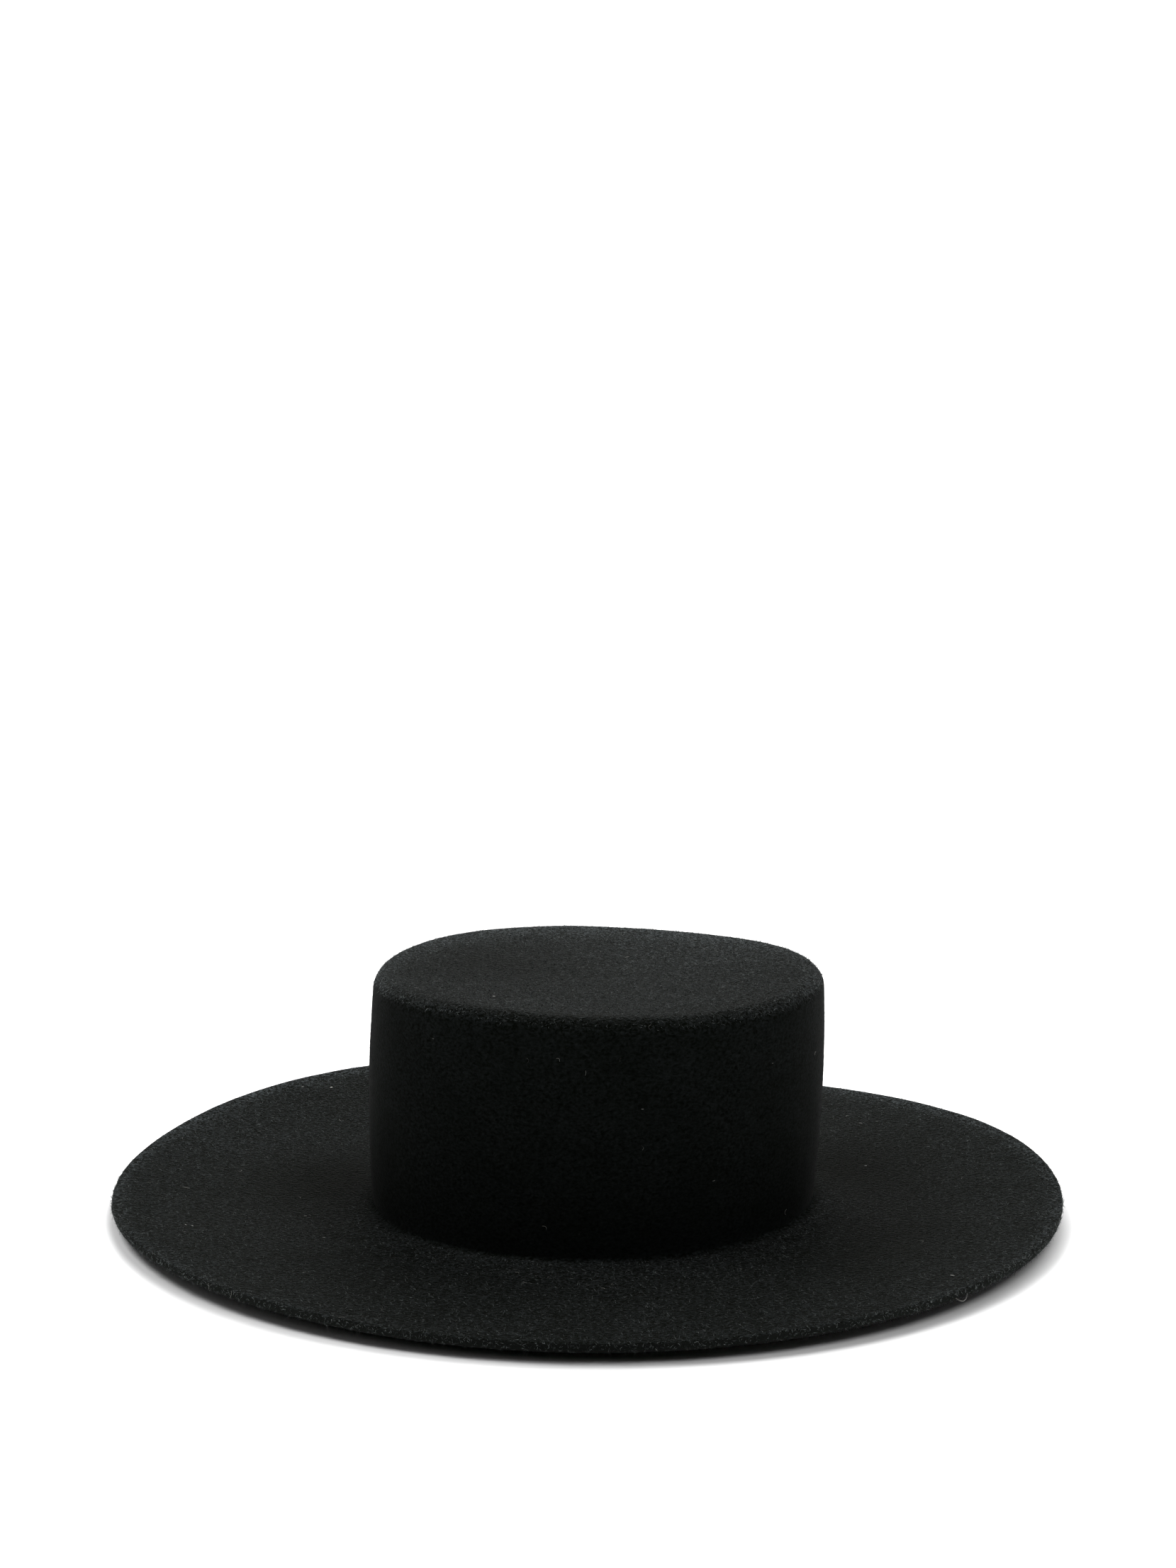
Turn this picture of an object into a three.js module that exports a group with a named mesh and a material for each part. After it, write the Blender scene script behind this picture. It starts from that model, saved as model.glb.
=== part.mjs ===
import * as THREE from "three";

// A felt hat with a flat-topped crown and a wide, nearly level brim, blocked from one piece of felt.
// Millimetres, +Z up. The felt rests on z = 0 round the head opening, and the fore-and-aft line is Y.

const degree = Math.PI / 180;

// Driving dimensions
const feltThickness = 3.1;

const crown = {
  length: 196.5, // outside, at the foot, along Y
  width: 182.7, // outside, at the foot, along X
  diagonalDraw: 1.75, // the oval is drawn in by this on its diagonals
  taper: 1.7, // the +Y end is narrower and longer by this
  centreX: 0.8,
  centreY: -1.4,
  height: 97, // top of the shoulder, over the crown's middle
  slopeX: 0.005, // the top rises by this share of the way towards +X
  slopeY: -0.008, // and by this towards +Y
  shoulderRadius: 7.1,
  flareAlong: 1.4, // the wall stands out by this at the shoulder, at the two ends
  flareAcross: 0.65, // and at the two sides
  leanX: 1.5, // the top sits this far off the foot
  leanY: -1.5,
  belly: 1.4, // the wall swells by this halfway up
  footTuck: 0.4, // the wall draws in by this at its foot
  footSpread: 1.9, // the foot is pressed out by this one way and in by it the other
  footSpreadTowards: 14,
  footShiftY: -0.9,
  footRadius: 1.9, // hollow radius where the wall meets the brim
  dish: 3.2, // how far the middle of the top lies below its rim
};

// Shallow waves along the rim of the crown's top
const rimWaves = [
  { crests: 2, height: 0.6, firstCrest: 4 },
  { crests: 3, height: 0.5, firstCrest: -30 },
];

const brim = {
  length: 399,
  width: 386,
  diagonalDraw: 0.8,
  edgeHeight: 8.6, // upper edge over the resting plane, before the waves
  restWidth: 20, // flattened ring that the hat stands on
  riseCurve: 1.5, // how late the brim lifts on its way out
};

// Shallow waves along the brim's edge
const brimWaves = [
  { crests: 2, height: 1.4, firstCrest: 119 },
  { crests: 3, height: 1.7, firstCrest: -28 },
  { crests: 4, height: 1.0, firstCrest: 0 },
];

// Mesh fineness
const segmentsAround = 88;
const topShares = [0.22, 0.44, 0.64, 0.8, 0.92];
const shoulderSteps = 6;
const wallSteps = 4;
const footSteps = 3;
const brimShares = [0.36, 0.52, 0.68, 0.84, 1];

function ovalReach(length, width, diagonalDraw, around) {
  const ellipse = 1 / Math.hypot(Math.cos(around) / (width / 2), Math.sin(around) / (length / 2));
  return ellipse - (diagonalDraw * (1 - Math.cos(4 * around))) / 2;
}

function waveHeight(waves, around) {
  let height = 0;
  for (const wave of waves) {
    height += wave.height * Math.cos(wave.crests * (around - wave.firstCrest * degree));
  }
  return height;
}

function rimHeight(x, y, around) {
  return crown.height + crown.slopeX * x + crown.slopeY * y + waveHeight(rimWaves, around);
}

// Outside of the crown at a share of the wall's height, 0 at the foot and 1 under the shoulder
function wallPoint(around, rise, inset, lift) {
  const length = crown.length + 2 * crown.flareAlong * rise;
  const width = crown.width + 2 * crown.flareAcross * rise;
  const oval = ovalReach(length, width, crown.diagonalDraw, around);
  const swell = 4 * rise * (1 - rise) * crown.belly;
  const low = (1 - rise) ** 4;
  const spread = crown.footSpread * Math.cos(2 * (around - crown.footSpreadTowards * degree));
  const reach = oval - crown.taper * Math.sin(3 * around) + swell + (spread - crown.footTuck) * low - inset;
  const x = crown.centreX + crown.leanX * rise + reach * Math.cos(around);
  const y = crown.centreY + crown.leanY * rise + crown.footShiftY * low + reach * Math.sin(around);
  const shoulder = rimHeight(x, y, around) - crown.shoulderRadius;
  const foot = feltThickness + crown.footRadius;
  return new THREE.Vector3(x, y, foot + (shoulder - foot) * rise + lift);
}

// Top of the crown, from its middle (0) to the start of the shoulder (1)
function topPoint(around, share) {
  const rim = wallPoint(around, 1, crown.shoulderRadius, crown.shoulderRadius);
  const middleX = crown.centreX + crown.leanX;
  const middleY = crown.centreY + crown.leanY;
  const x = middleX + (rim.x - middleX) * share;
  const y = middleY + (rim.y - middleY) * share;
  const sunk = crown.dish * (1 - share * share) ** 1.5;
  const level = crown.height + crown.slopeX * x + crown.slopeY * y;
  return new THREE.Vector3(x, y, level + waveHeight(rimWaves, around) * share * share - sunk);
}

function shoulderPoint(around, turn) {
  const r = crown.shoulderRadius;
  return wallPoint(around, 1, r * (1 - Math.cos(turn)), r * Math.sin(turn));
}

function footPoint(around, turn) {
  const r = crown.footRadius;
  return wallPoint(around, 0, -r * (1 - Math.cos(turn)), -r * Math.sin(turn));
}

function edgeHeight(around) {
  return brim.edgeHeight + waveHeight(brimWaves, around);
}

// Upper face of the brim, from the foot of the crown (0) to its edge (1)
function brimPoint(around, share) {
  const foot = footPoint(around, Math.PI / 2);
  const reach = ovalReach(brim.length, brim.width, brim.diagonalDraw, around);
  const edge = new THREE.Vector3(reach * Math.cos(around), reach * Math.sin(around), 0);
  const flat = restShare(around);
  const risen = Math.max(0, (share - flat) / (1 - flat)) ** brim.riseCurve;
  const z = feltThickness + (edgeHeight(around) - feltThickness) * risen;
  return new THREE.Vector3(foot.x + (edge.x - foot.x) * share, foot.y + (edge.y - foot.y) * share, z);
}

function restShare(around) {
  const foot = footPoint(around, Math.PI / 2);
  const reach = ovalReach(brim.length, brim.width, brim.diagonalDraw, around);
  return brim.restWidth / (reach - Math.hypot(foot.x, foot.y));
}

// Rings of the outside, from the crown's middle to the brim's edge. The felt lies level on the plane under
// the rings marked level.
function outsideRings() {
  const rings = [];
  const addRing = (point, level = false) => rings.push({ point, level });
  for (const share of topShares) {
    addRing((around) => topPoint(around, share));
  }
  for (let step = 0; step <= shoulderSteps; step++) {
    const turn = (Math.PI / 2) * (1 - step / shoulderSteps);
    addRing((around) => shoulderPoint(around, turn));
  }
  for (let step = 1; step < wallSteps; step++) {
    addRing((around) => wallPoint(around, 1 - step / wallSteps, 0, 0));
  }
  for (let step = 0; step <= footSteps; step++) {
    const turn = (Math.PI / 2) * (step / footSteps);
    addRing((around) => footPoint(around, turn), step === footSteps);
  }
  addRing((around) => brimPoint(around, restShare(around)), true);
  for (const share of brimShares) {
    addRing((around) => brimPoint(around, share));
  }
  return rings;
}

// A point of one ring, moved into the felt by its thickness along the surface's own normal
function insidePoint(rings, index, around) {
  const here = rings[index].point(around);
  if (rings[index].level) {
    return here.setZ(0);
  }
  const before = index > 0 ? rings[index - 1].point(around) : topPoint(around, 0);
  const after = index < rings.length - 1 ? rings[index + 1].point(around) : here;
  const along = sectionTangent(before, here, after);
  const step = 0.5 * degree;
  const across = rings[index].point(around + step).sub(rings[index].point(around - step));
  const inward = across.cross(along).normalize();
  return here.clone().addScaledVector(inward, feltThickness);
}

// Direction of the section at a point, as the tangent of the curve through it and its two neighbours
function sectionTangent(before, here, after) {
  const first = here.clone().sub(before);
  const second = after.clone().sub(here);
  if (second.length() === 0) {
    return first;
  }
  const firstSlope = first.clone().divideScalar(first.length());
  const secondSlope = second.clone().divideScalar(second.length());
  const bend = firstSlope.clone().multiplyScalar(second.length());
  return bend.add(secondSlope.multiplyScalar(first.length()));
}

function feltBody() {
  const rings = outsideRings();
  const positions = [];
  const faces = [];
  const addPoint = (point) => positions.push(point.x, point.y, point.z) / 3 - 1;

  const middle = topPoint(0, 0);
  const outsideMiddle = addPoint(middle);
  const insideMiddle = addPoint(middle.clone().add(new THREE.Vector3(0, 0, -feltThickness)));
  const outside = [];
  const inside = [];
  rings.forEach((ring, index) => {
    outside.push([]);
    inside.push([]);
    for (let segment = 0; segment < segmentsAround; segment++) {
      const around = (2 * Math.PI * segment) / segmentsAround;
      outside[index].push(addPoint(ring.point(around)));
      inside[index].push(addPoint(insidePoint(rings, index, around)));
    }
  });

  const addBand = (upper, lower) => {
    for (let segment = 0; segment < segmentsAround; segment++) {
      const next = (segment + 1) % segmentsAround;
      faces.push(upper[segment], lower[segment], lower[next]);
      faces.push(upper[segment], lower[next], upper[next]);
    }
  };
  for (let segment = 0; segment < segmentsAround; segment++) {
    const next = (segment + 1) % segmentsAround;
    faces.push(outsideMiddle, outside[0][segment], outside[0][next]);
    faces.push(insideMiddle, inside[0][next], inside[0][segment]);
  }
  for (let index = 1; index < rings.length; index++) {
    addBand(outside[index - 1], outside[index]);
    addBand(inside[index], inside[index - 1]);
  }
  addBand(outside[rings.length - 1], inside[rings.length - 1]);

  const geometry = new THREE.BufferGeometry();
  geometry.setAttribute("position", new THREE.Float32BufferAttribute(positions, 3));
  geometry.setIndex(faces);
  geometry.computeVertexNormals();
  return geometry;
}

const blackFelt = new THREE.MeshStandardMaterial({ name: "black_felt", color: 0x1c1c1d, roughness: 0.95, metalness: 0 });

const body = new THREE.Mesh(feltBody(), blackFelt);
body.name = "felt_body";

const hat = new THREE.Group();
hat.name = "hat";
hat.add(body);

export default hat;
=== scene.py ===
import math

import bpy
import numpy as np
from mathutils import Matrix, Vector, noise
from mathutils.bvhtree import BVHTree


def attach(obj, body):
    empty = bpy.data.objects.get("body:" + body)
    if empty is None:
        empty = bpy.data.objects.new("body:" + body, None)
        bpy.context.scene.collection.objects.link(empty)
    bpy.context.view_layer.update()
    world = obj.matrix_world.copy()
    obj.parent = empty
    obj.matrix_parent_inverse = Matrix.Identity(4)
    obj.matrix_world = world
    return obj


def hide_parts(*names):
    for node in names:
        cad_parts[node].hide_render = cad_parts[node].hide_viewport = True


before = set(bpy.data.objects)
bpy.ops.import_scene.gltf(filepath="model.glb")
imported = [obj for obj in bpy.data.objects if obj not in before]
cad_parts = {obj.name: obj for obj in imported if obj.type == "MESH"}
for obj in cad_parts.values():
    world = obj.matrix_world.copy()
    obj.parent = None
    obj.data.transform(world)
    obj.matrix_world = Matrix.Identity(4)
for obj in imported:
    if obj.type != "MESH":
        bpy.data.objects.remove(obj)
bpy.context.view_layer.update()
print("frame loaded")

mm = 0.001
fullTurn = 6.283  # radians


# sRGB hex to linear, for every colour in the script
def toLinear(hexColour):
    channels = [int(hexColour[i:i + 2], 16) / 255 for i in (1, 3, 5)]
    return [c / 12.92 if c <= 0.04045 else ((c + 0.055) / 1.055) ** 2.4 for c in channels] + [1.0]


# adds one node, sets its properties and sets or links its inputs
def addNode(tree, kind, inputs=None, **settings):
    node = tree.nodes.new(kind)
    for name, value in settings.items():
        setattr(node, name, value)
    for name, value in (inputs or {}).items():
        if isinstance(value, bpy.types.NodeSocket):
            tree.links.new(value, node.inputs[name])
        else:
            node.inputs[name].default_value = value
    return node


def newMaterial(name):
    material = bpy.data.materials.new(name)
    material.use_nodes = True
    material.node_tree.nodes.clear()
    return material, material.node_tree


# The felt body: crown and brim blocked from one piece. Sizes in millimetres, angles in degrees.
feltBody = {
    "thickness": 3.1,
    "crownLength": 196.5,
    "crownWidth": 182.7,
    "crownDiagonalDraw": 1.75,
    "crownTaper": 1.7,
    "crownCentre": (0.8, -1.4),
    "crownHeight": 97,
    "topSlope": (0.005, -0.008),
    "rimWaves": ((2, 0.6, 4), (3, 0.5, -30)),  # crests, height, first crest
    "shoulderRadius": 7.1,
    "flareAlong": 1.4,
    "flareAcross": 0.65,
    "lean": (1.5, -1.5),
    "belly": 1.4,
    "footTuck": 0.4,
    "footSpread": 1.9,
    "footSpreadTowards": 14,
    "footShift": -0.9,
    "footRadius": 1.9,
    "dish": 3.2,
    "brimLength": 399,
    "brimWidth": 386,
    "brimDiagonalDraw": 0.8,
    "edgeHeight": 8.6,
    "edgeWaves": ((2, 1.4, 119), (3, 1.7, -28), (4, 1.0, 0)),
    "restWidth": 20,
    "riseCurve": 1.5,
    "restFrom": 85,  # the felt that lies on the table is further out than this
    "restSlack": 0.02,
    "edgeRounding": 0.45,  # how far the cut edge bows out
    "edgeRoughness": 0.22,  # raw cut
    "cutWaves": ((1.6, 5), (6, 8)),  # size and seed
    "unevenness": 0.28,  # slow swell of hand-blocked felt
    "swellWaves": ((34, 3, 1), (9, 11, 0.3)),  # size, seed and share
    "swellAtRest": 0.4,  # share left where the felt lies on the table
    "creaseDepth": 0.35,  # pinch where the wall meets the brim
    "wallPaintedLight": 0.3,  # painted light: the wall is painted paler by this share
    "lowestTone": 0.05,
    # fineness of the mesh
    "segmentsAround": 360,
    "dishRings": 26,
    "dishReach": (0.03, 0.97),
    "shoulderRings": 12,
    "topRings": 34,  # the dish's rings and most of the shoulder's count as the top
    "wallRings": 24,
    "footRings": 8,
    "brimRings": 42,
    "brimStart": 0.012,
    "edgeRows": 9,
}

# Soft patches of painted shade and painted light on the felt, darker beside the crown's foot, in a valley on
# the right of the brim and in the hollow of the top, lighter on the far left of the brim and on the right of
# the top: middle, reach, change
paintedShadeAndLightPatches = {
    "besideCrownLeft": ((-83, 57, 4), 30, -1.1),
    "besideCrownRight": ((105, -28, 4), 25, -1.0),
    "rightFar": ((150, -10, 4), 22, -0.15),
    "rightValleyFoot": ((24, -150, 4), 16, -0.3),
    "rightValleyNear": ((48, -136, 4), 17, -0.5),
    "rightValley": ((77, -116, 4), 19, -0.65),
    "rightValleyFar": ((112, -78, 4), 18, -0.35),
    "leftNear": ((-128, -40, 4), 28, -0.3),
    "leftFar": ((-98, 134, 4), 30, 0.5),
    "topHollow": ((-36, 34, 96), 27, -0.4),
    "topMiddle": ((-12, 14, 95), 24, -0.25),
    "topRight": ((62, 4, 97), 30, 0.7),
}

# Painted light along the rims: painted highlights on the rims of the far side and out from the foot of the
# crown on the near side, and painted shade along the near rim of the top: the side, how much, how far in from
# the rim it reaches at that side, and how quickly it fades round the hat
paintedRimReach = 3  # least reach in from a rim
paintedRimLight = {
    "farTop": (60, 4.0, 20, 0.7),
    "nearTop": (240, -0.3, 7, 1.0),
    "farBrim": (60, 3.5, 8, 0.5),
    "footBrim": (240, 0.7, 18, 1.0),  # this one reaches out from the foot of the crown
}


def ovalReach(length, width, diagonalDraw, around):
    ellipse = 1 / np.hypot(np.cos(around) / (width / 2), np.sin(around) / (length / 2))
    return ellipse - diagonalDraw * (1 - np.cos(4 * around)) / 2


def waveHeights(waves, around):
    return sum(rise * np.cos(crests * (around - math.radians(first))) for crests, rise, first in waves)


def topLevel(form, x, y):
    return form["crownHeight"] + form["topSlope"][0] * x + form["topSlope"][1] * y


# outside of the crown at a share of the wall's height, 0 at the foot and 1 under the shoulder
def wallPoints(form, around, rise, inset, lift):
    oval = ovalReach(form["crownLength"] + 2 * form["flareAlong"] * rise,
                     form["crownWidth"] + 2 * form["flareAcross"] * rise, form["crownDiagonalDraw"], around)
    swell = 4 * rise * (1 - rise) * form["belly"]
    low = (1 - rise) ** 4
    spread = form["footSpread"] * np.cos(2 * (around - math.radians(form["footSpreadTowards"])))
    reach = oval - form["crownTaper"] * np.sin(3 * around) + swell + (spread - form["footTuck"]) * low - inset
    x = form["crownCentre"][0] + form["lean"][0] * rise + reach * np.cos(around)
    y = form["crownCentre"][1] + form["lean"][1] * rise + form["footShift"] * low + reach * np.sin(around)
    shoulder = topLevel(form, x, y) + waveHeights(form["rimWaves"], around) - form["shoulderRadius"]
    foot = form["thickness"] + form["footRadius"]
    return np.stack([x, y, foot + (shoulder - foot) * rise + lift], axis=-1)


def topPoints(form, around, share):
    r = form["shoulderRadius"]
    rim = wallPoints(form, around, 1, r, r)
    middle = np.array(form["crownCentre"]) + np.array(form["lean"])
    xy = middle + (rim[:, :2] - middle) * share
    sunk = form["dish"] * (1 - share * share) ** 1.5
    z = topLevel(form, xy[:, 0], xy[:, 1]) + waveHeights(form["rimWaves"], around) * share * share - sunk
    return np.column_stack([xy, z])


def brimPoints(form, around, share, footRing):
    reach = ovalReach(form["brimLength"], form["brimWidth"], form["brimDiagonalDraw"], around)
    edge = np.column_stack([reach * np.cos(around), reach * np.sin(around)])
    level = form["restWidth"] / (reach - np.hypot(footRing[:, 0], footRing[:, 1]))
    risen = np.maximum(0, (share - level) / (1 - level)) ** form["riseCurve"]
    height = form["edgeHeight"] + waveHeights(form["edgeWaves"], around)
    z = form["thickness"] + (height - form["thickness"]) * risen
    return np.column_stack([footRing[:, :2] + (edge - footRing[:, :2]) * share, z])


# outside of the felt as rings, from the middle of the top to the edge of the brim
def outsideRings(form, around):
    r = form["shoulderRadius"]
    rings = [topPoints(form, around, s) for s in np.linspace(*form["dishReach"], form["dishRings"])]
    for turn in np.linspace(math.pi / 2, 0, form["shoulderRings"]):
        rings.append(wallPoints(form, around, 1, r * (1 - math.cos(turn)), r * math.sin(turn)))
    rings += [wallPoints(form, around, rise, 0, 0) for rise in np.linspace(1, 0, form["wallRings"])[1:]]
    r = form["footRadius"]
    for turn in np.linspace(0, math.pi / 2, form["footRings"])[1:]:
        pinch = form["creaseDepth"] * math.sin(2 * turn) ** 2
        rings.append(wallPoints(form, around, 0, pinch - r * (1 - math.cos(turn)), -r * math.sin(turn)))
    footRing = rings[-1]
    shares = np.linspace(form["brimStart"], 1, form["brimRings"])
    rings += [brimPoints(form, around, s, footRing) for s in shares]
    return np.array(rings)


# unit normals of a closed band of rings, outwards and upwards
def ringNormals(rings):
    across = np.roll(rings, -1, axis=1) - np.roll(rings, 1, axis=1)
    along = np.gradient(rings, axis=0)
    normals = np.cross(along, across)
    return normals / np.linalg.norm(normals, axis=-1, keepdims=True)


def slowNoise(points, size, seed):
    flat = points.reshape(-1, 3) / size
    values = [noise.noise(Vector((p[0] + seed, p[1], p[2]))) for p in flat]
    return np.array(values).reshape(points.shape[:-1])


def buildFelt(form):
    count = form["segmentsAround"]
    around = np.arange(count) * 2 * math.pi / count
    outside = outsideRings(form, around)
    normals = ringNormals(outside)
    inside = outside - normals * form["thickness"]
    away = np.hypot(outside[..., 0], outside[..., 1])
    resting = (away > form["restFrom"]) & (outside[..., 2] < form["thickness"] + form["restSlack"])
    inside[resting, 2] = 0

    swell = sum(slowNoise(outside, size, seed) * form["unevenness"] * share
                for size, seed, share in form["swellWaves"])
    outside = outside + normals * (swell * (1 - (1 - form["swellAtRest"]) * resting))[..., None]

    # the cut edge: rows from the upper corner to the lower, bowed out and uneven
    upper, lower = outside[-1], inside[-1]
    outward = upper - outside[-2]
    outward /= np.linalg.norm(outward, axis=-1, keepdims=True)
    edge = []
    for down in np.linspace(0, 1, form["edgeRows"])[1:-1]:
        row = upper + (lower - upper) * down
        bow = form["edgeRounding"] * math.sin(math.pi * down) ** 0.5
        rough = sum(slowNoise(row, size, seed) * form["edgeRoughness"] for size, seed in form["cutWaves"])
        edge.append(row + outward * (bow + rough)[:, None])

    rings = np.concatenate([outside, np.array(edge), inside[::-1]])
    points = np.vstack([rings.reshape(-1, 3), outside[0].mean(axis=0), inside[0].mean(axis=0)])
    topIndex, underIndex = len(points) - 2, len(points) - 1

    faces = []
    for ring in range(len(rings) - 1):
        for i in range(count):
            j = (i + 1) % count
            a, b = ring * count, (ring + 1) * count
            faces.append((a + i, b + i, b + j, a + j))
    last = (len(rings) - 1) * count
    for i in range(count):
        j = (i + 1) % count
        faces.append((topIndex, i, j))
        faces.append((underIndex, last + j, last + i))

    mesh = bpy.data.meshes.new("feltHat")
    mesh.from_pydata([tuple(p * mm) for p in points], [], faces)
    mesh.polygons.foreach_set("use_smooth", [True] * len(mesh.polygons))

    # which part of the hat a point is on: 0 inside, 1 top, 2 wall, 3 brim, 4 the cut edge
    part = np.zeros(len(points))
    brimRing = len(outside) - form["brimRings"]
    edgeEnd = len(outside) + len(edge)
    part[:brimRing * count] = 2
    part[:form["topRings"] * count] = 1
    part[brimRing * count:len(outside) * count] = 3
    part[len(outside) * count:edgeEnd * count] = 4
    part[topIndex] = 1
    mesh.attributes.new("hatPart", "FLOAT", "POINT").data.foreach_set("value", part)

    # painted light and shade laid on the felt as a tone, 1 is plain
    tone = np.ones(len(points))
    # painted shade and painted light in soft patches
    for middle, reach, change in paintedShadeAndLightPatches.values():
        tone += change * np.exp(-((points - middle) ** 2).sum(axis=1) / (2 * reach * reach))
    # painted light: the wall is painted paler
    tone[form["topRings"] * count:brimRing * count] += form["wallPaintedLight"]
    centre = outside[0].mean(axis=0)[:2]
    # painted highlights along the far rims and out from the crown's foot, painted shade along the near rim of
    # the top
    for name, (towards, amount, reach, fade) in paintedRimLight.items():
        first, last = (0, form["topRings"]) if name.endswith("Top") else (brimRing, edgeEnd)
        side = 0.5 + 0.5 * np.cos(around - math.radians(towards))
        away = np.linalg.norm(rings[first:last, :, :2] - centre, axis=-1)
        inFrom = away - away[0] if name == "footBrim" else away[-1] - away
        inFrom = np.maximum(0, inFrom) / (paintedRimReach + reach * side * side)
        tone[first * count:last * count] += (amount * side ** fade * np.exp(-inFrom * inFrom)).ravel()
    tone = np.maximum(tone, form["lowestTone"])
    mesh.attributes.new("toneAndPaintedLight", "FLOAT", "POINT").data.foreach_set("value", tone)
    body = bpy.data.objects.new("feltHat", mesh)
    bpy.context.scene.collection.objects.link(body)
    return body


# Wool felt, blocked and brushed: matt black, its short matted fibres make a fine grain of lit and dark flecks
woolFelt = {
    "dark": "#020401",
    "light": "#1e2121",
    "litFrom": (1.05, 1.5),  # the tufts' height from which they are lit, and fully lit
    "middleHeight": 1.15,
    "fleckWidth": 0.75,  # a wool fibre is 0.02 mm across: drawn as the tufts it mats into
    "fleckLength": 1.9,
    "patch": 2.4,  # the tufts lie another way every so far
    "clump": 1.1,
    "fine": 0.3,
    "fineShare": 0.3,
    "brushing": 0.7,  # tufts are brushed level, so they are longer that way
    "mottle": 14,
    "mottleFrom": (0.3, 0.7),
    "mottleTone": (0.8, 1.15),
    "wallContrast": 0.3,
    "wallRelief": 0.1,
    "levelRelief": 1.1,
    "roughness": 0.92,
    "specular": 0.04,
    "sheen": 0.028,
    "sheenRoughness": 0.3,
    "cutColour": "#171917",
    "cutFrom": 3.2,  # from brim, 3, to cut edge, 4
    "cutShare": 0.5,  # of the cut colour, where the painted light tone is plain
}


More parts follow.
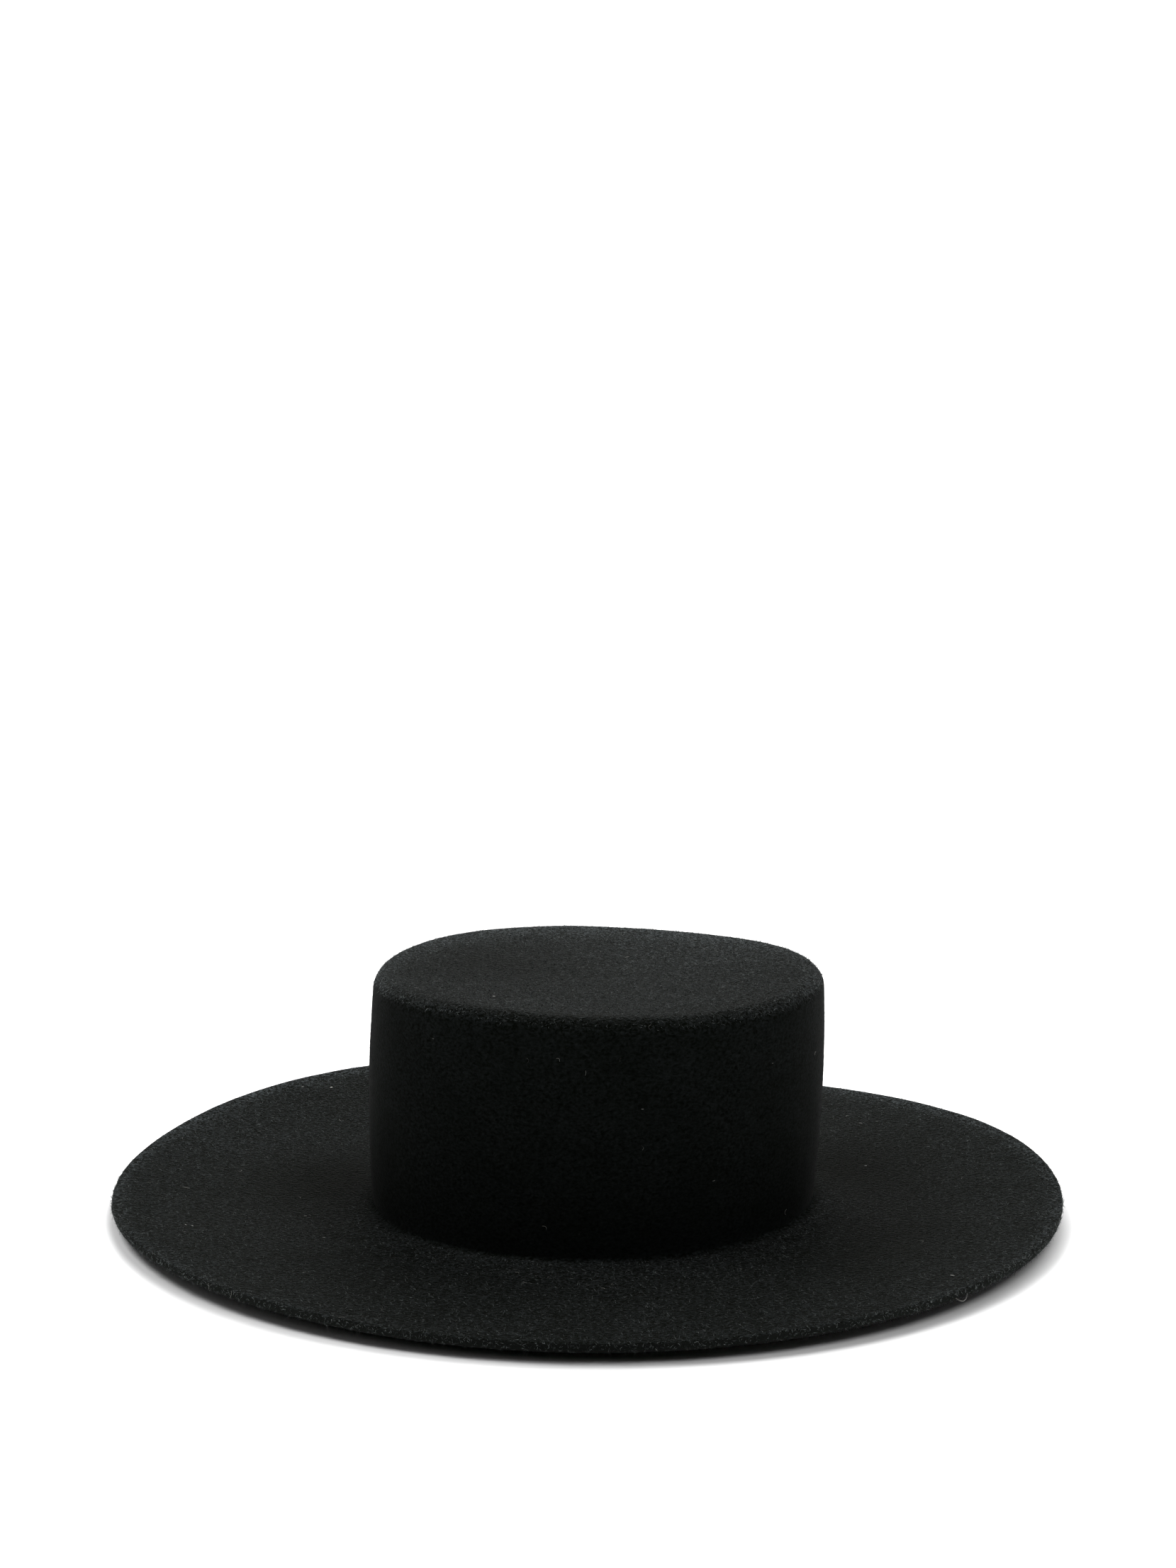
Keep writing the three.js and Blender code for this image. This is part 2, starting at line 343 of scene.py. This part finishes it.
def makeWoolFelt(look):
    material, tree = newMaterial("blackWoolFelt")
    here = addNode(tree, "ShaderNodeTexCoord").outputs["Object"]
    brushed = addNode(tree, "ShaderNodeVectorMath", {0: here, 1: (look["brushing"], look["brushing"], 1)},
                      operation="MULTIPLY")
    place = brushed.outputs[0]

    # each patch of tufts lies its own way
    patches = addNode(tree, "ShaderNodeTexVoronoi", {"Vector": place, "Scale": 1 / (look["patch"] * mm)})
    turn = addNode(tree, "ShaderNodeVectorMath", {0: patches.outputs["Color"], 1: [fullTurn] * 3},
                   operation="MULTIPLY")
    turned = addNode(tree, "ShaderNodeVectorRotate", {"Vector": place, "Rotation": turn.outputs[0]},
                     rotation_type="EULER_XYZ")
    stretch = look["fleckWidth"] / look["fleckLength"]
    squeezed = addNode(tree, "ShaderNodeVectorMath", {0: turned.outputs[0], 1: (stretch, 1, 1)},
                       operation="MULTIPLY")
    flecks = addNode(tree, "ShaderNodeTexNoise",
                     {"Vector": squeezed.outputs[0], "Scale": 1 / (look["fleckWidth"] * mm), "Detail": 1.5})
    clumps = addNode(tree, "ShaderNodeTexNoise",
                     {"Vector": place, "Scale": 1 / (look["clump"] * mm), "Detail": 2.0})
    fine = addNode(tree, "ShaderNodeTexNoise",
                   {"Vector": place, "Scale": 1 / (look["fine"] * mm), "Detail": 2.0})
    mottle = addNode(tree, "ShaderNodeTexNoise",
                     {"Vector": place, "Scale": 1 / (look["mottle"] * mm), "Detail": 3.0})

    matted = addNode(tree, "ShaderNodeMath", {0: flecks.outputs[0], 1: clumps.outputs[0]}, operation="ADD")
    height = addNode(tree, "ShaderNodeMath", {0: fine.outputs[0], 1: look["fineShare"], 2: matted.outputs[0]},
                     operation="MULTIPLY_ADD")

    # the nap stands higher, and its flecks show more, on level felt than on the pressed wall of the crown
    normal = addNode(tree, "ShaderNodeNewGeometry").outputs["Normal"]
    facing = addNode(tree, "ShaderNodeSeparateXYZ", {0: normal})
    rise = addNode(tree, "ShaderNodeMapRange",
                   {"Value": facing.outputs[2], "From Min": 0, "From Max": 1,
                    "To Min": look["wallRelief"], "To Max": look["levelRelief"]})
    contrast = addNode(tree, "ShaderNodeMapRange",
                       {"Value": facing.outputs[2], "From Min": 0, "From Max": 1,
                        "To Min": look["wallContrast"], "To Max": 1})
    middle = look["middleHeight"]
    spread = addNode(tree, "ShaderNodeMath", {0: height.outputs[0], 1: -middle}, operation="ADD")
    calmed = addNode(tree, "ShaderNodeMath", {0: spread.outputs[0], 1: contrast.outputs[0], 2: middle},
                     operation="MULTIPLY_ADD")
    lit = addNode(tree, "ShaderNodeMapRange",
                  {"Value": calmed.outputs[0], "From Min": look["litFrom"][0],
                   "From Max": look["litFrom"][1]})

    # slow mottling, and the painted shade and painted light of the patches, the wall and the rims
    patchy = addNode(tree, "ShaderNodeMapRange",
                     {"Value": mottle.outputs[0],
                      "From Min": look["mottleFrom"][0], "From Max": look["mottleFrom"][1],
                      "To Min": look["mottleTone"][0], "To Max": look["mottleTone"][1]})
    toneAndLight = addNode(tree, "ShaderNodeAttribute", attribute_name="toneAndPaintedLight")
    mottleAndLight = addNode(tree, "ShaderNodeMath", {0: patchy.outputs[0], 1: toneAndLight.outputs["Fac"]},
                   operation="MULTIPLY")
    shade = addNode(tree, "ShaderNodeMath", {0: lit.outputs[0], 1: mottleAndLight.outputs[0]}, operation="MULTIPLY")
    tone = addNode(tree, "ShaderNodeMix", {"Factor": shade.outputs[0]}, data_type="RGBA", clamp_factor=False)
    tone.inputs[6].default_value = toLinear(look["dark"])
    tone.inputs[7].default_value = toLinear(look["light"])

    # the cut edge shows the felt's smoother inside, darker or paler with the painted light and shade laid on
    # the felt
    part = addNode(tree, "ShaderNodeAttribute", attribute_name="hatPart")
    cutFace = addNode(tree, "ShaderNodeMapRange",
                      {"Value": part.outputs["Fac"], "From Min": look["cutFrom"], "From Max": 4})
    cutShade = addNode(tree, "ShaderNodeMath", {0: toneAndLight.outputs["Fac"], 1: look["cutShare"]},
                       operation="MULTIPLY")
    cutTone = addNode(tree, "ShaderNodeMix", {"Factor": cutShade.outputs[0]}, data_type="RGBA")
    cutTone.inputs[6].default_value = (0, 0, 0, 1)
    cutTone.inputs[7].default_value = toLinear(look["cutColour"])
    colour = addNode(tree, "ShaderNodeMix", {"Factor": cutFace.outputs[0]}, data_type="RGBA")
    tree.links.new(tone.outputs[2], colour.inputs[6])
    tree.links.new(cutTone.outputs[2], colour.inputs[7])

    napHeight = addNode(tree, "ShaderNodeMath", {0: height.outputs[0], 1: rise.outputs[0]},
                        operation="MULTIPLY")
    relief = addNode(tree, "ShaderNodeBump",
                     {"Height": napHeight.outputs[0], "Distance": mm, "Strength": 1.0})
    surface = addNode(tree, "ShaderNodeBsdfPrincipled", {
        "Base Color": colour.outputs[2],
        "Roughness": look["roughness"],
        "Specular IOR Level": look["specular"],
        "Sheen Weight": look["sheen"],
        "Sheen Roughness": look["sheenRoughness"],
        "Normal": relief.outputs[0],
    })
    addNode(tree, "ShaderNodeOutputMaterial", {"Surface": surface.outputs[0]})
    return material


woolMaterial = makeWoolFelt(woolFelt)
hatBody = buildFelt(feltBody)
hatBody.data.materials.append(woolMaterial)
print("felt body", len(hatBody.data.vertices), "points")

# Loose ends of black wool. They stand a little off the felt and catch the light one by one, as thin
# grey hairs.
napFibre = {
    "material": "looseWoolFibre",
    "length": 1.5,
    "width": 0.14,  # real fibres are 0.02 mm across: drawn as small tufts
    "leanFrom": 42,  # tilt away from upright, in degrees
    "leanTo": 96,
    "dark": "#0e1111",
    "light": "#676c6b",
    "grain": 1.3,
    "spots": (0.42, 0.75),  # where the grain turns from dark to light
    "roughness": 0.8,
    "specular": 0.1,
    "sizes": (0.4, 1.35),
}

# The wall was pressed on the block, so its fibres lie flatter and show less
wallFibre = dict(napFibre, material="pressedWoolFibre", length=1.3, width=0.1, leanFrom=66, dark="#040704",
                 light="#131812")

# Cotton lint caught in the nap: short curled hairs, each one its own grey
lintFibre = dict(napFibre, material="paleLint", length=1.9, width=0.16, curl=0.8, leanFrom=80, leanTo=100,
                 dark="#2c2c2b", light="#8f8f8a", grain=6)

# The few brighter hairs that can be picked out singly
brightLint = dict(lintFibre, material="whiteLint", dark="#1a1a19", light="#c8c8c2", spots=(-1, 0.75))

partSpan = 0.6  # how far a point's part may be from the one that is meant

# part, count of fibres, seed and look. The parts are 1 top, 2 wall, 3 brim, 4 the cut edge.
napCover = {
    "topNap": (1, 26000, 4, napFibre),
    "wallNap": (2, 12000, 6, wallFibre),
    "brimNap": (3, 46000, 9, napFibre),
    "edgeFuzz": (4, 5000, 15, napFibre),
    "topLint": (1, 40, 21, lintFibre),
    "wallLint": (2, 14, 22, lintFibre),
    "brimLint": (3, 130, 23, lintFibre),
}


# matt fibre, lighter and darker from place to place, and carrying the tone given to its mesh: the painted
# light and shade of the felt, or a stray hair's own brightness
def makeFibre(look):
    material, tree = newMaterial(look["material"])
    place = addNode(tree, "ShaderNodeTexCoord").outputs["Object"]
    spots = addNode(tree, "ShaderNodeTexNoise",
                    {"Vector": place, "Scale": 1 / (look["grain"] * mm), "Detail": 1.0})
    level = addNode(tree, "ShaderNodeMapRange",
                    {"Value": spots.outputs[0], "From Min": look["spots"][0], "From Max": look["spots"][1]})
    toneAndLight = addNode(tree, "ShaderNodeAttribute", attribute_name="toneAndPaintedLight")
    shade = addNode(tree, "ShaderNodeMath", {0: level.outputs[0], 1: toneAndLight.outputs["Fac"]},
                    operation="MULTIPLY")
    colour = addNode(tree, "ShaderNodeMix", {"Factor": shade.outputs[0]}, data_type="RGBA")
    colour.inputs[6].default_value = toLinear(look["dark"])
    colour.inputs[7].default_value = toLinear(look["light"])
    surface = addNode(tree, "ShaderNodeBsdfPrincipled",
                      {"Base Color": colour.outputs[2], "Roughness": look["roughness"],
                       "Specular IOR Level": look["specular"]})
    addNode(tree, "ShaderNodeOutputMaterial", {"Surface": surface.outputs[0]})
    return material


# Fibres scattered over a part of the hat: one fibre instanced on random points, then made real.
# A fibre with a curl is a bent hair, and one without is a short pointed end.
def scatterFibres(name, source, look, part, count, seed, material):
    tree = bpy.data.node_groups.new(name, "GeometryNodeTree")
    face = tree.interface
    face.new_socket("Geometry", in_out="INPUT", socket_type="NodeSocketGeometry")
    for label in ("Part", "Density", "Length", "Width", "Curl", "Lean From", "Lean To"):
        face.new_socket(label, in_out="INPUT", socket_type="NodeSocketFloat")
    face.new_socket("Seed", in_out="INPUT", socket_type="NodeSocketInt")
    face.new_socket("Geometry", in_out="OUTPUT", socket_type="NodeSocketGeometry")
    given = addNode(tree, "NodeGroupInput").outputs

    here = addNode(tree, "GeometryNodeInputNamedAttribute", {"Name": "hatPart"}, data_type="FLOAT")
    apart = addNode(tree, "ShaderNodeMath", {0: here.outputs["Attribute"], 1: given["Part"]},
                    operation="SUBTRACT")
    away = addNode(tree, "ShaderNodeMath", {0: apart.outputs[0]}, operation="ABSOLUTE")
    chosen = addNode(tree, "ShaderNodeMath", {0: away.outputs[0], 1: partSpan}, operation="LESS_THAN")
    points = addNode(tree, "GeometryNodeDistributePointsOnFaces",
                     {"Mesh": given["Geometry"], "Selection": chosen.outputs[0], "Density": given["Density"],
                      "Seed": given["Seed"]})

    radius = addNode(tree, "ShaderNodeMath", {0: given["Width"], 1: 0.5}, operation="MULTIPLY")
    if "curl" in look:
        bow = addNode(tree, "ShaderNodeMath", {0: given["Length"], 1: given["Curl"]}, operation="MULTIPLY")
        middleAt = addNode(tree, "ShaderNodeCombineXYZ", {"X": bow.outputs[0]})
        start = addNode(tree, "ShaderNodeMath", {0: given["Length"], 1: -0.5}, operation="MULTIPLY")
        startAt = addNode(tree, "ShaderNodeCombineXYZ", {"Z": start.outputs[0]})
        end = addNode(tree, "ShaderNodeMath", {0: given["Length"], 1: 0.5}, operation="MULTIPLY")
        endAt = addNode(tree, "ShaderNodeCombineXYZ", {"Z": end.outputs[0]})
        arc = addNode(tree, "GeometryNodeCurveQuadraticBezier",
                      {"Resolution": 4, "Start": startAt.outputs[0], "Middle": middleAt.outputs[0],
                       "End": endAt.outputs[0]})
        section = addNode(tree, "GeometryNodeCurvePrimitiveCircle",
                          {"Resolution": 3, "Radius": radius.outputs[0]})
        hair = addNode(tree, "GeometryNodeCurveToMesh",
                       {"Curve": arc.outputs[0], "Profile Curve": section.outputs[0], "Fill Caps": True})
    else:
        hair = addNode(tree, "GeometryNodeMeshCone",
                       {"Vertices": 3, "Radius Top": 0, "Radius Bottom": radius.outputs[0],
                        "Depth": given["Length"]})

    lowest = addNode(tree, "ShaderNodeCombineXYZ", {"X": given["Lean From"]})
    highest = addNode(tree, "ShaderNodeCombineXYZ", {"X": given["Lean To"], "Z": fullTurn})
    spin = addNode(tree, "FunctionNodeRandomValue", {"Seed": given["Seed"]}, data_type="FLOAT_VECTOR")
    tree.links.new(lowest.outputs[0], spin.inputs[0])
    tree.links.new(highest.outputs[0], spin.inputs[1])
    turned = addNode(tree, "FunctionNodeRotateRotation",
                     {"Rotation": points.outputs["Rotation"], "Rotate By": spin.outputs[0]},
                     rotation_space="LOCAL")
    size = addNode(tree, "FunctionNodeRandomValue", {"Seed": given["Seed"]}, data_type="FLOAT")
    size.inputs[2].default_value, size.inputs[3].default_value = look["sizes"]
    placed = addNode(tree, "GeometryNodeInstanceOnPoints",
                     {"Points": points.outputs["Points"], "Instance": hair.outputs[0],
                      "Rotation": turned.outputs[0], "Scale": size.outputs[1]})
    real = addNode(tree, "GeometryNodeRealizeInstances", {"Geometry": placed.outputs[0]})
    finished = addNode(tree, "GeometryNodeSetMaterial", {"Geometry": real.outputs[0], "Material": material})
    addNode(tree, "NodeGroupOutput", {"Geometry": finished.outputs[0]})

    carrier = source.copy()
    carrier.data = source.data.copy()
    bpy.context.scene.collection.objects.link(carrier)
    parts = carrier.data.attributes["hatPart"].data
    area = sum(f.area for f in carrier.data.polygons if abs(parts[f.vertices[0]].value - part) < partSpan)
    values = {
        "Part": part,
        "Density": count / area,
        "Length": look["length"] * mm,
        "Width": look["width"] * mm,
        "Curl": look.get("curl", 0),
        "Lean From": math.radians(look["leanFrom"]),
        "Lean To": math.radians(look["leanTo"]),
        "Seed": seed,
    }
    modifier = carrier.modifiers.new(name, "NODES")
    modifier.node_group = tree
    for item in face.items_tree:
        if item.in_out == "INPUT" and item.name in values:
            kind = int if item.name == "Seed" else float
            modifier[item.identifier] = kind(values[item.name])
    graph = bpy.context.evaluated_depsgraph_get()
    mesh = bpy.data.meshes.new_from_object(carrier.evaluated_get(graph))
    mesh.name = name
    bpy.data.objects.remove(carrier)
    piece = bpy.data.objects.new(name, mesh)
    bpy.context.scene.collection.objects.link(piece)
    print(name, sum(len(p.vertices) - 2 for p in mesh.polygons), "triangles")
    return piece


fibreMaterials = {look["material"]: makeFibre(look) for look in (napFibre, wallFibre, lintFibre, brightLint)}
fibrePieces = []
for name, (part, count, seed, look) in napCover.items():
    material = fibreMaterials[look["material"]]
    fibrePieces.append(scatterFibres(name, hatBody, look, part, count, seed, material))

# Single pale hairs and specks of lint: place, length, width, bend, turn about the felt's normal,
# tilt off the felt, brightness
strayHairs = {
    "whiteSpeck": ((-34, 179, 10), 1.1, 0.55, 0.1, 20, 0, 1),
    "leftPair": ((-166, 27, 6), 1.6, 0.2, 0.1, -60, 4, 0.72),
    "leftPairSecond": ((-164, 25, 6), 1.5, 0.2, 0.1, -50, 4, 0.72),
    "leftLongHair": ((-147, 76, 6), 4.2, 0.14, 0.15, -30, 2, 0.43),
    "leftMiddle": ((-117, 22, 3), 1.2, 0.2, 0.2, 15, 5, 0.38),
    "leftMiddleSecond": ((-109, 45, 3), 1.0, 0.2, 0.2, 80, 5, 0.29),
    "leftInner": ((-122, -7, 3), 1.2, 0.2, 0.2, -20, 5, 0.38),
    "edgeHairLeft": ((-187, -50, 7), 3.0, 0.16, 0.15, 90, 8, 0.38),
    "edgeHairNext": ((-183, -62, 7), 3.2, 0.16, 0.4, 80, 10, 0.48),
    "edgeHairNear": ((-160, -106, 7), 2.2, 0.16, 0.3, 10, 6, 0.29),
    "rightSpeck": ((119, -34, 3), 1.0, 0.4, 0.1, 0, 0, 0.48),
    "rightCluster": ((154, 18, 5), 1.6, 0.2, 0.4, -20, 4, 0.48),
    "rightClusterSecond": ((156, 31, 5), 1.8, 0.18, 0.5, 40, 4, 0.48),
    "rightClusterThird": ((161, 15, 6), 1.2, 0.2, 0.3, 5, 4, 0.38),
    "edgeCurl": ((44, -194, 7), 7.0, 0.2, 0.75, 0, 20, 0.6),
    "rightNearDash": ((54, -177, 8), 1.6, 0.24, 0.1, -30, 4, 0.72),
    "topSpeck": ((-58.5, -30, 97), 1.0, 0.4, 0.1, 0, 0, 0.6),
    "wallHair": ((-49, -85, 77), 2.0, 0.16, 0.2, 85, 4, 0.24),
    "wallSpeck": ((-30, -95, 63), 0.9, 0.35, 0.1, 0, 0, 0.19),
    "wallLowSpeck": ((-1, -100, 32), 1.1, 0.25, 0.1, 5, 0, 0.24),
    "wallLeftSpeck": ((-86, -33, 84), 0.8, 0.3, 0.1, 0, 0, 0.19),
    "wallRightSpeck": ((27, -97, 74), 0.8, 0.3, 0.1, 0, 0, 0.14),
}

hairForm = {
    "steps": 6,
    "corners": 4,
    "thinning": 0.45,  # how much thinner a hair is at its ends
    "liftOff": 0.1,  # how far a tilted hair stands off, as a share of its length
    "steepFelt": 0.3,  # on felt steeper than this a hair with no turn lies level
    "levelWay": (0.866, -0.5, 0),  # and elsewhere it lies this way
}


# each hair is a bent tube that lies on the nearest felt
def buildStrayHairs(hairs, form, body):
    steps, corners = form["steps"], form["corners"]
    tree = BVHTree.FromPolygons([v.co for v in body.data.vertices], [f.vertices for f in body.data.polygons])
    points, faces, tones = [], [], []
    for place, length, width, bend, turn, tilt, brightness in hairs.values():
        at, normal, _, _ = tree.find_nearest(Vector(place) * mm)
        level = normal.cross(Vector((0, 0, 1)))
        along = level.normalized() if level.length > form["steepFelt"] else Vector(form["levelWay"])
        along = Matrix.Rotation(math.radians(turn), 3, normal) @ along
        across = normal.cross(along)
        rise = math.sin(math.radians(tilt))
        first = len(points)
        for step in range(steps + 1):
            t = 2 * step / steps - 1
            bow = (1 - t * t) * bend / 2
            centre = at + (along * t / 2 + (across * (1 - rise) + normal * rise) * bow) * length * mm
            centre += normal * (width / 2 + length * form["liftOff"] * rise) * mm
            thick = width * (1 - form["thinning"] * t * t) / 2
            for corner in range(corners):
                angle = 2 * math.pi * corner / corners
                points.append(centre + (across * math.cos(angle) + normal * math.sin(angle)) * thick * mm)
        for step in range(steps):
            ring = first + step * corners
            for corner in range(corners):
                a, b = ring + corner, ring + (corner + 1) % corners
                faces.append((a, b, b + corners, a + corners))
        faces.append(tuple(reversed(range(first, first + corners))))
        faces.append(tuple(range(len(points) - corners, len(points))))
        tones += [brightness] * (len(points) - first)
    mesh = bpy.data.meshes.new("strayHairs")
    mesh.from_pydata(points, [], faces)
    mesh.materials.append(fibreMaterials["whiteLint"])
    mesh.attributes.new("toneAndPaintedLight", "FLOAT", "POINT").data.foreach_set("value", tones)
    piece = bpy.data.objects.new("strayHairs", mesh)
    bpy.context.scene.collection.objects.link(piece)
    return piece


fibrePieces.append(buildStrayHairs(strayHairs, hairForm, hatBody))
print("stray hairs placed")

# Floor, light and camera
studio = {
    "floorSize": 3.2,
    "floorColour": "#f4f4f4",
    "floorRoughness": 0.9,
    "floorSpecular": 0.1,
    "fadeFrom": 0.5,  # the floor turns into plain white from here, in metres from the hat
    "fadeTo": 1.2,
    "backdrop": 1.2,  # brightness seen behind the hat
    # degrees round from the far side of the hat, degrees up, distance, size, power
    "lamps": {
        "backSoftbox": (0, 35, 2.5, 1.2, 30),
        "highBackSoftbox": (0, 60, 2.5, 1.2, 24),
        "highRightSoftbox": (45, 60, 2.5, 1.2, 23),
        "leftSoftbox": (-90, 60, 2.5, 1.2, 36),
        "frontRightSoftbox": (135, 52, 2.5, 1.2, 21),
        "frontLeftSoftbox": (-135, 35, 2.5, 1.2, 3.5),
        "lowRightSoftbox": (102, 26, 2.5, 1.8, 4.5),
        "nearBackPanel": (0, 40, 0.45, 0.3, 0.65),
    },
    "cameraPlace": (-0.5260, -0.9111, 0.3212),
    "cameraTurn": -30.063,
    "cameraDip": 8.03,
    "lens": 59.87,
}


def makeStudio(look):
    half = look["floorSize"] / 2
    mesh = bpy.data.meshes.new("floor")
    corners = [(-half, -half, 0), (half, -half, 0), (half, half, 0), (-half, half, 0)]
    mesh.from_pydata(corners, [], [(0, 1, 2, 3)])
    floor = bpy.data.objects.new("floor", mesh)
    bpy.context.scene.collection.objects.link(floor)

    # matt white paper: it takes a soft shadow under the hat, and far from it is as white as the backdrop
    material, tree = newMaterial("whitePaper")
    here = addNode(tree, "ShaderNodeTexCoord").outputs["Object"]
    away = addNode(tree, "ShaderNodeVectorMath", {0: here}, operation="LENGTH")
    far = addNode(tree, "ShaderNodeMapRange",
                  {"Value": away.outputs["Value"], "From Min": look["fadeFrom"], "From Max": look["fadeTo"]})
    ray = addNode(tree, "ShaderNodeLightPath")
    glow = addNode(tree, "ShaderNodeMath", {0: far.outputs[0], 1: ray.outputs["Is Camera Ray"]},
                   operation="MULTIPLY")
    surface = addNode(tree, "ShaderNodeBsdfPrincipled", {
        "Base Color": toLinear(look["floorColour"]),
        "Roughness": look["floorRoughness"],
        "Specular IOR Level": look["floorSpecular"],
        "Emission Color": (1, 1, 1, 1),
        "Emission Strength": glow.outputs[0],
    })
    addNode(tree, "ShaderNodeOutputMaterial", {"Surface": surface.outputs[0]})
    mesh.materials.append(material)

    # white all round, seen behind the hat and lighting nothing
    world = bpy.data.worlds.new("studio")
    world.use_nodes = True
    tree = world.node_tree
    tree.nodes.clear()
    ray = addNode(tree, "ShaderNodeLightPath")
    level = addNode(tree, "ShaderNodeMath", {0: ray.outputs["Is Camera Ray"], 1: look["backdrop"]},
                    operation="MULTIPLY")
    light = addNode(tree, "ShaderNodeBackground", {"Color": (1, 1, 1, 1), "Strength": level.outputs[0]})
    addNode(tree, "ShaderNodeOutputWorld", {"Surface": light.outputs[0]})
    bpy.context.scene.world = world

    for name, (turn, rise, far, size, power) in look["lamps"].items():
        lamp = bpy.data.lights.new(name, "AREA")
        lamp.shape = "SQUARE"
        lamp.size = size
        lamp.energy = power
        turn, rise = math.radians(turn - look["cameraTurn"]), math.radians(rise)
        way = Vector((math.sin(turn) * math.cos(rise), math.cos(turn) * math.cos(rise), math.sin(rise)))
        lampObject = bpy.data.objects.new(name, lamp)
        lampObject.location = way * far
        lampObject.rotation_euler = (-way).to_track_quat("-Z", "Y").to_euler()
        lampObject.visible_camera = False
        bpy.context.scene.collection.objects.link(lampObject)

    camera = bpy.data.cameras.new("camera")
    camera.lens = look["lens"]
    cameraObject = bpy.data.objects.new("camera", camera)
    cameraObject.location = look["cameraPlace"]
    tilt, turn = math.radians(90 - look["cameraDip"]), math.radians(look["cameraTurn"])
    cameraObject.rotation_euler = (tilt, 0, turn)
    bpy.context.scene.collection.objects.link(cameraObject)
    bpy.context.scene.camera = cameraObject
    bpy.context.scene.view_settings.view_transform = "Standard"


makeStudio(studio)
print("studio ready")

for piece in [hatBody] + fibrePieces:
    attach(piece, "root")
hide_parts("felt_body")
